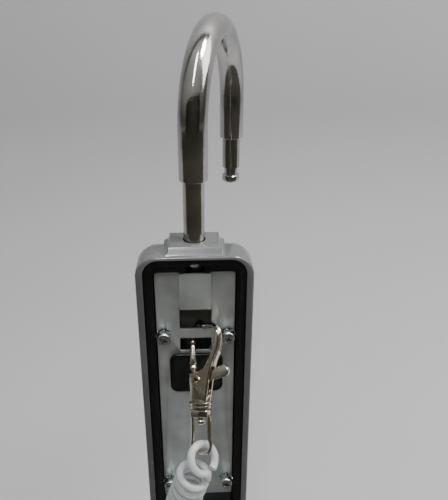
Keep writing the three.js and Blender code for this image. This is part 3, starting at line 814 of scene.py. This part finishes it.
# ------------------------------------------------------------------ shackle
@dataclass
class Shackle:
    """The bent rod and the bright sleeve over its arch."""

    rod_radius: float = 4.0 * MM
    sleeve_radius: float = 5.3 * MM
    sleeve_wall: float = 1.05 * MM
    spacing: float = 62.7 * MM
    turn: float = math.radians(16.6)
    arch_centre: float = 40.6 * MM
    sleeve_end: float = 23.2 * MM
    sides: int = 56
    arch_steps: int = 72

    def bent_tube(self, name: str, radius: float, near_end: float, far_end: float) -> bpy.types.Object:
        """Bend an open round tube over the arch.

        Args:
            name: The piece's name.
            radius: Its outside radius.
            near_end: The long leg's end height, from the leg's entry.
            far_end: The toe's end height.

        Returns:
            The tube, still open at its ends.
        """
        Bench.clear_selection()
        base = LEG_ENTRY + Vector((0.0, 0.0, near_end))
        bpy.ops.mesh.primitive_circle_add(
            vertices=self.sides, radius=radius, fill_type="NOTHING", location=base
        )
        tube = Bench.added(name)
        Bench.take(tube)
        bpy.ops.object.transform_apply(location=True, rotation=True, scale=True)
        Bench.edit(tube)
        bpy.ops.mesh.select_all(action="SELECT")
        bpy.ops.mesh.extrude_region_move(
            TRANSFORM_OT_translate={"value": (0.0, 0.0, self.arch_centre - near_end)}
        )
        out = Vector((math.sin(self.turn), math.cos(self.turn), 0.0))
        middle = LEG_ENTRY + out * self.spacing / 2 + Vector((0.0, 0.0, self.arch_centre))
        hinge = Vector((math.cos(self.turn), -math.sin(self.turn), 0.0))
        bpy.ops.mesh.spin(
            steps=self.arch_steps, angle=math.pi, center=middle, axis=hinge, dupli=False
        )
        bpy.ops.mesh.extrude_region_move(
            TRANSFORM_OT_translate={"value": (0.0, 0.0, far_end - self.arch_centre)}
        )
        Bench.close()
        return tube

    def ring_at(self, height: float, toe: bool) -> Callable[[object], bool]:
        """Return a test for the edges round one end, at a height from the leg's entry."""
        level = LEG_ENTRY.z + height
        far = LEG_ENTRY.y + self.spacing / 2

        def test(edge: bmesh.types.BMEdge) -> bool:
            return all(abs(v.co.z - level) < 1e-5 and (v.co.y > far) == toe for v in edge.verts)

        return test

    def narrow(self, piece: bpy.types.Object, factor: float, toe: bool) -> None:
        """Scale the selected ring about its leg's axis."""
        centre = LEG_ENTRY.copy()
        if toe:
            centre += Vector((math.sin(self.turn), math.cos(self.turn), 0.0)) * self.spacing
        mesh = bmesh.from_edit_mesh(piece.data)
        centre.z = next(v.co.z for v in mesh.verts if v.select)
        bpy.ops.transform.resize(value=(factor, factor, 1.0), center_override=centre)

    def drop(self, down: float) -> None:
        """Extrude the selected ring straight down."""
        bpy.ops.mesh.extrude_region_move(TRANSFORM_OT_translate={"value": (0.0, 0.0, -down)})

    def turned_end(
        self, piece: bpy.types.Object, height: float, toe: bool, profile: Sequence[Tuple[float, float]], radius: float
    ) -> None:
        """Turn one end of a tube to a profile and close it.

        Args:
            piece: The tube.
            height: Where its end is now.
            toe: Whether it is the toe's end.
            profile: Steps of drop and new radius.
            radius: The tube's radius.
        """
        Bench.edit(piece)
        Bench.pick(piece, "EDGE", self.ring_at(height, toe))
        now = radius
        for down, wanted in profile:
            self.drop(down)
            if abs(wanted - now) > 1e-9:
                self.narrow(piece, wanted / now, toe)
            now = wanted
        bpy.ops.mesh.edge_face_add()
        Bench.close()

    def sleeve(self) -> bpy.types.Object:
        """Make the sleeve, with a rolled lip and a bore at each end."""
        tube = self.bent_tube("sleeve_tube", self.sleeve_radius, self.sleeve_end + 0.0003, self.sleeve_end + 0.0003)
        outer = self.sleeve_radius
        bore = outer - self.sleeve_wall
        lip = 0.0003
        profile = [
            (lip * 0.45, outer - lip * 0.12), (lip * 0.35, outer - lip * 0.45), (lip * 0.20, outer - lip),
            (0.0, bore + lip * 0.6), (-lip * 0.6, bore), (-0.0008, bore),
        ]
        for toe in (False, True):
            self.turned_end(tube, self.sleeve_end + 0.0003, toe, profile, outer)
        Bench.outwards(tube)
        return Bench.settle(tube, 50.0)

    def rod(self) -> bpy.types.Object:
        """Make the rod, with its two leg grooves and the toe's neck and tip."""
        top = -4.4 * MM
        toe_top = 9.7 * MM
        tube = self.bent_tube("shackle_bar", self.rod_radius, top, toe_top)
        r = self.rod_radius
        c = 0.35 * MM
        leg = [
            (0.6 * MM, r), (0.0, 2.9 * MM), (3.2 * MM, 2.9 * MM), (0.0, r), (2.7 * MM, r),
            (0.0, 3.3 * MM), (1.0 * MM, 3.3 * MM), (0.0, r - c), (c, r), (1.3 * MM - 2 * c, r), (c, r - c),
        ]
        self.turned_end(tube, top, False, leg, r)
        toe = [
            (0.35 * MM, r), (0.25 * MM, r - 0.25 * MM), (0.15 * MM, 3.1 * MM), (3.05 * MM, 3.1 * MM),
            (0.12 * MM, r - 0.35 * MM), (0.35 * MM, r), (1.9 * MM, r), (0.55 * MM, r - 0.14 * MM),
            (0.5 * MM, r - 0.55 * MM), (0.45 * MM, r - 1.25 * MM), (0.28 * MM, r - 2.2 * MM),
            (0.10 * MM, r - 3.1 * MM),
        ]
        self.turned_end(tube, toe_top, True, toe, r)
        Bench.outwards(tube)
        return Bench.settle(tube, 38.0)

    def build(self) -> None:
        """Make the shackle's pieces and dress the ring and washer below."""
        place_piece(self.sleeve(), "shackle", CHROME, ["shackle_sleeve"])
        place_piece(self.rod(), "shackle", ROD_CHROME, ["shackle_rod"])
        SPRING_STEEL.dress(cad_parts["retaining_ring"])
        BRIGHT_STEEL.dress(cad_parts["thrust_washer"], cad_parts["leg_bushing"])
        RUBBER.dress(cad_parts["leg_wiper"])


# ------------------------------------------------------------------ housing
@dataclass
class Housing:
    """The cast shell, its rubber seal, and the plate that everything is screwed to."""

    def build(self) -> None:
        """Make the shell, the seal and the plate."""
        place_piece(Bench.copy_of("housing", "cast_shell"), "housing", ENAMEL, ["housing"])
        place_piece(Bench.copy_of("gasket", "seal_frame", 0.0005), "housing", RUBBER, ["gasket"])
        place_piece(
            Bench.copy_of("mounting_plate", "zinc_plate_sheet", 0.00014), "housing", ZINC_SHEET,
            ["mounting_plate"],
        )
        ZINC_SHEET.dress(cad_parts["bolt_guide"])
        # The lock plate gets the darker zinc copy, painted shade for its place inside the housing.
        ZINC_PAINTED_SHADE.dress(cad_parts["lock_plate"])


@dataclass
class PlateFasteners:
    """A pan-head screw, a split washer and a flat washer at each corner of the plate."""

    head_radius: float = 2.8 * MM
    head_height: float = 2.2 * MM
    shank_radius: float = 1.5 * MM
    recess_width: float = 0.95 * MM
    recess_span: float = 4.2 * MM
    recess_depth: float = 1.3 * MM

    def recess(self, centre: Vector, turn: float) -> bpy.types.Object:
        """Make one tapered blade of the cross recess, centred on the head's front."""
        Bench.clear_selection()
        bpy.ops.mesh.primitive_cube_add(size=1.0, location=centre, rotation=(0.0, turn, 0.0))
        blade = Bench.added("recess_blade")
        blade.scale = (self.recess_span, 2 * self.recess_depth, self.recess_width)
        Bench.take(blade)
        bpy.ops.object.transform_apply(location=False, rotation=False, scale=True)
        Bench.edit(blade)
        Bench.pick(blade, "FACE", lambda f: f.normal.y > 0.9)
        bpy.ops.transform.resize(value=(0.55, 1.0, 0.55), center_override=blade.matrix_world.translation)
        Bench.close()
        return blade

    def screw(self, node: str) -> bpy.types.Object:
        """Make the screw that stands at a CAD screw's place."""
        low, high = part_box(node)
        centre = (low + high) / 2
        head = Vector((centre.x, low.y + self.head_height / 2, centre.z))
        Bench.clear_selection()
        bpy.ops.mesh.primitive_cylinder_add(
            vertices=40, radius=self.head_radius, depth=self.head_height, location=head,
            rotation=(math.pi / 2, 0.0, 0.0),
        )
        piece = Bench.added("pan_screw_" + node.removeprefix("plate_screw_"))
        Bench.take(piece)
        bpy.ops.object.transform_apply(location=True, rotation=True, scale=True)
        Bench.edit(piece)
        front = low.y + 1e-6
        Bench.pick(piece, "EDGE", lambda e: all(v.co.y < front for v in e.verts))
        bpy.ops.mesh.bevel(offset=1.25 * MM, segments=7, profile=0.58, affect="EDGES")
        back = low.y + self.head_height - 1e-6
        Bench.pick(piece, "EDGE", lambda e: all(v.co.y > back for v in e.verts))
        bpy.ops.mesh.bevel(offset=0.18 * MM, segments=2, affect="EDGES")
        Bench.pick(piece, "FACE", lambda f: f.normal.y > 0.99)
        bpy.ops.mesh.inset(thickness=self.head_radius - 0.18 * MM - self.shank_radius)
        bpy.ops.mesh.extrude_region_move(
            TRANSFORM_OT_translate={"value": (0.0, high.y - low.y - self.head_height - 0.4 * MM, 0.0)}
        )
        bpy.ops.mesh.extrude_region_move(TRANSFORM_OT_translate={"value": (0.0, 0.4 * MM, 0.0)})
        bpy.ops.transform.resize(
            value=(0.7, 1.0, 0.7), center_override=(centre.x, high.y, centre.z)
        )
        Bench.close()
        Bench.outwards(piece)
        for turn in (math.radians(28.0), math.radians(118.0)):
            blade = self.recess(Vector((centre.x, low.y, centre.z)), turn)
            Bench.modify(piece, "BOOLEAN", object=blade, operation="DIFFERENCE", solver="EXACT")
            bpy.data.objects.remove(blade)
        return Bench.settle(piece, 34.0)

    def washer(self, node: str, name: str, hole: float, open_deg: float, lift: float) -> bpy.types.Object:
        """Turn a washer from a square section.

        Args:
            node: The CAD washer whose place it takes.
            name: The new piece's name.
            hole: The hole's radius.
            open_deg: How wide its split is, 0 for a closed ring.
            lift: How far one end of the split stands off the other.

        Returns:
            The washer.
        """
        low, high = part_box(node)
        centre = (low + high) / 2
        outer = (high.z - low.z) / 2 if open_deg == 0 else (high.x - low.x) / 2
        thick = high.y - low.y
        Bench.clear_selection()
        middle = centre + Vector(((hole + outer) / 2, 0.0, 0.0))
        middle.y -= lift / 2
        bpy.ops.mesh.primitive_plane_add(size=1.0, location=middle)
        piece = Bench.added(name)
        piece.scale = (outer - hole, thick - lift, 1.0)
        Bench.take(piece)
        bpy.ops.object.transform_apply(location=True, rotation=True, scale=True)
        Bench.edit(piece)
        bpy.ops.mesh.select_all(action="SELECT")
        bpy.ops.transform.rotate(
            value=math.radians(90.0 - open_deg / 2), orient_axis="Y", center_override=centre
        )
        steps = 40
        bpy.ops.mesh.spin(
            steps=steps, angle=math.radians(360.0 - open_deg), center=centre, axis=(0.0, 1.0, 0.0), dupli=False
        )
        if lift > 0:
            mesh = bmesh.from_edit_mesh(piece.data)
            for v in mesh.verts:
                angle = math.atan2(v.co.x - centre.x, v.co.z - centre.z) % (2 * math.pi)
                v.co.y += lift * angle / (2 * math.pi)
            bmesh.update_edit_mesh(piece.data)
        Bench.close()
        Bench.outwards(piece)
        Bench.modify(
            piece, "BEVEL", width=0.10 * MM, segments=2, limit_method="ANGLE", angle_limit=math.radians(50.0)
        )
        return Bench.settle(piece, 34.0)

    def build(self) -> None:
        """Make the three pieces of every corner."""
        for corner in Corner:
            where = corner.value
            screw = f"plate_screw_{where}"
            place_piece(self.screw(screw), "housing", SCREW_ZINC, [screw])
            split = f"spring_washer_{where}"
            piece = self.washer(split, f"split_washer_{where}", self.shank_radius + 0.2 * MM, 14.0, 0.22 * MM)
            place_piece(piece, "housing", SCREW_ZINC, [split])
            flat = f"flat_washer_{where}"
            piece = self.washer(flat, f"plain_washer_{where}", self.shank_radius + 0.2 * MM, 0.0, 0.0)
            place_piece(piece, "housing", SCREW_ZINC, [flat])


@dataclass
class PushButton:
    """The black button and the lock work that it moves."""

    corner: float = 3.2 * MM
    cap: float = 1.2 * MM
    stem_width: float = 14.0 * MM
    stem_height: float = 12.0 * MM
    dish: float = 0.25 * MM

    def cap_piece(self) -> bpy.types.Object:
        """Make the cap, with its dished face, and its stem."""
        low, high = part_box("button_cap")
        centre = (low + high) / 2
        size = high - low
        Bench.clear_selection()
        bpy.ops.mesh.primitive_cube_add(size=1.0, location=(centre.x, low.y + self.cap / 2, centre.z))
        piece = Bench.added("button_face")
        piece.scale = (size.x, self.cap, size.z)
        Bench.take(piece)
        bpy.ops.object.transform_apply(location=True, rotation=True, scale=True)
        Bench.edit(piece)
        Bench.pick(piece, "EDGE", lambda e: abs(e.verts[0].co.y - e.verts[1].co.y) > self.cap / 2)
        bpy.ops.mesh.bevel(offset=self.corner, segments=8, affect="EDGES")
        front = low.y + 1e-6
        Bench.pick(piece, "EDGE", lambda e: all(v.co.y < front for v in e.verts))
        bpy.ops.mesh.bevel(offset=0.55 * MM, segments=4, affect="EDGES")
        Bench.pick(piece, "FACE", lambda f: f.normal.y < -0.99)
        bpy.ops.mesh.inset(thickness=1.1 * MM)
        bpy.ops.mesh.inset(thickness=0.9 * MM)
        bpy.ops.transform.translate(value=(0.0, self.dish, 0.0))
        Bench.pick(piece, "FACE", lambda f: f.normal.y > 0.99)
        bpy.ops.mesh.inset(thickness=0.6 * MM)
        bpy.ops.transform.resize(
            value=(self.stem_width / (size.x - 1.2 * MM), 1.0, self.stem_height / (size.z - 1.2 * MM)),
            center_override=centre,
        )
        bpy.ops.mesh.extrude_region_move(
            TRANSFORM_OT_translate={"value": (0.0, size.y - self.cap, 0.0)}
        )
        Bench.close()
        Bench.outwards(piece)
        return Bench.settle(piece, 40.0)

    def build(self) -> None:
        """Make the button's face and dress the lock work."""
        place_piece(self.cap_piece(), "button", PLASTIC, ["button_cap"])
        PLASTIC.dress(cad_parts["button_carrier"])
        SPRING_STEEL.dress(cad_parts["button_spring"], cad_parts["lock_bolt"])


@dataclass
class SnapHook:
    """The nickel swivel hook round the plate's bridge."""

    def build(self) -> None:
        """Make the hook's pieces."""
        for node, name, body in (
            ("hook_body", "snap_hook_body", "snap_hook"),
            ("hook_rivet", "snap_hook_rivet", "snap_hook"),
            ("swivel_pin", "swivel_ball", "snap_hook"),
            ("hook_gate", "snap_gate", "gate"),
            ("hook_bail", "swivel_bail", "bail"),
        ):
            place_piece(Bench.copy_of(node, name, 0.0, 38.0), body, NICKEL, [node])


def main() -> None:
    """Build the studio and the lock, the camera and the cord first."""
    logging.basicConfig(level=logging.INFO, format="%(message)s")
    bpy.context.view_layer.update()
    Studio().build()
    Tether().build()
    for part in (Shackle(), Housing(), PlateFasteners(), PushButton(), SnapHook()):
        part.build()


if __name__ == "__main__":
    main()
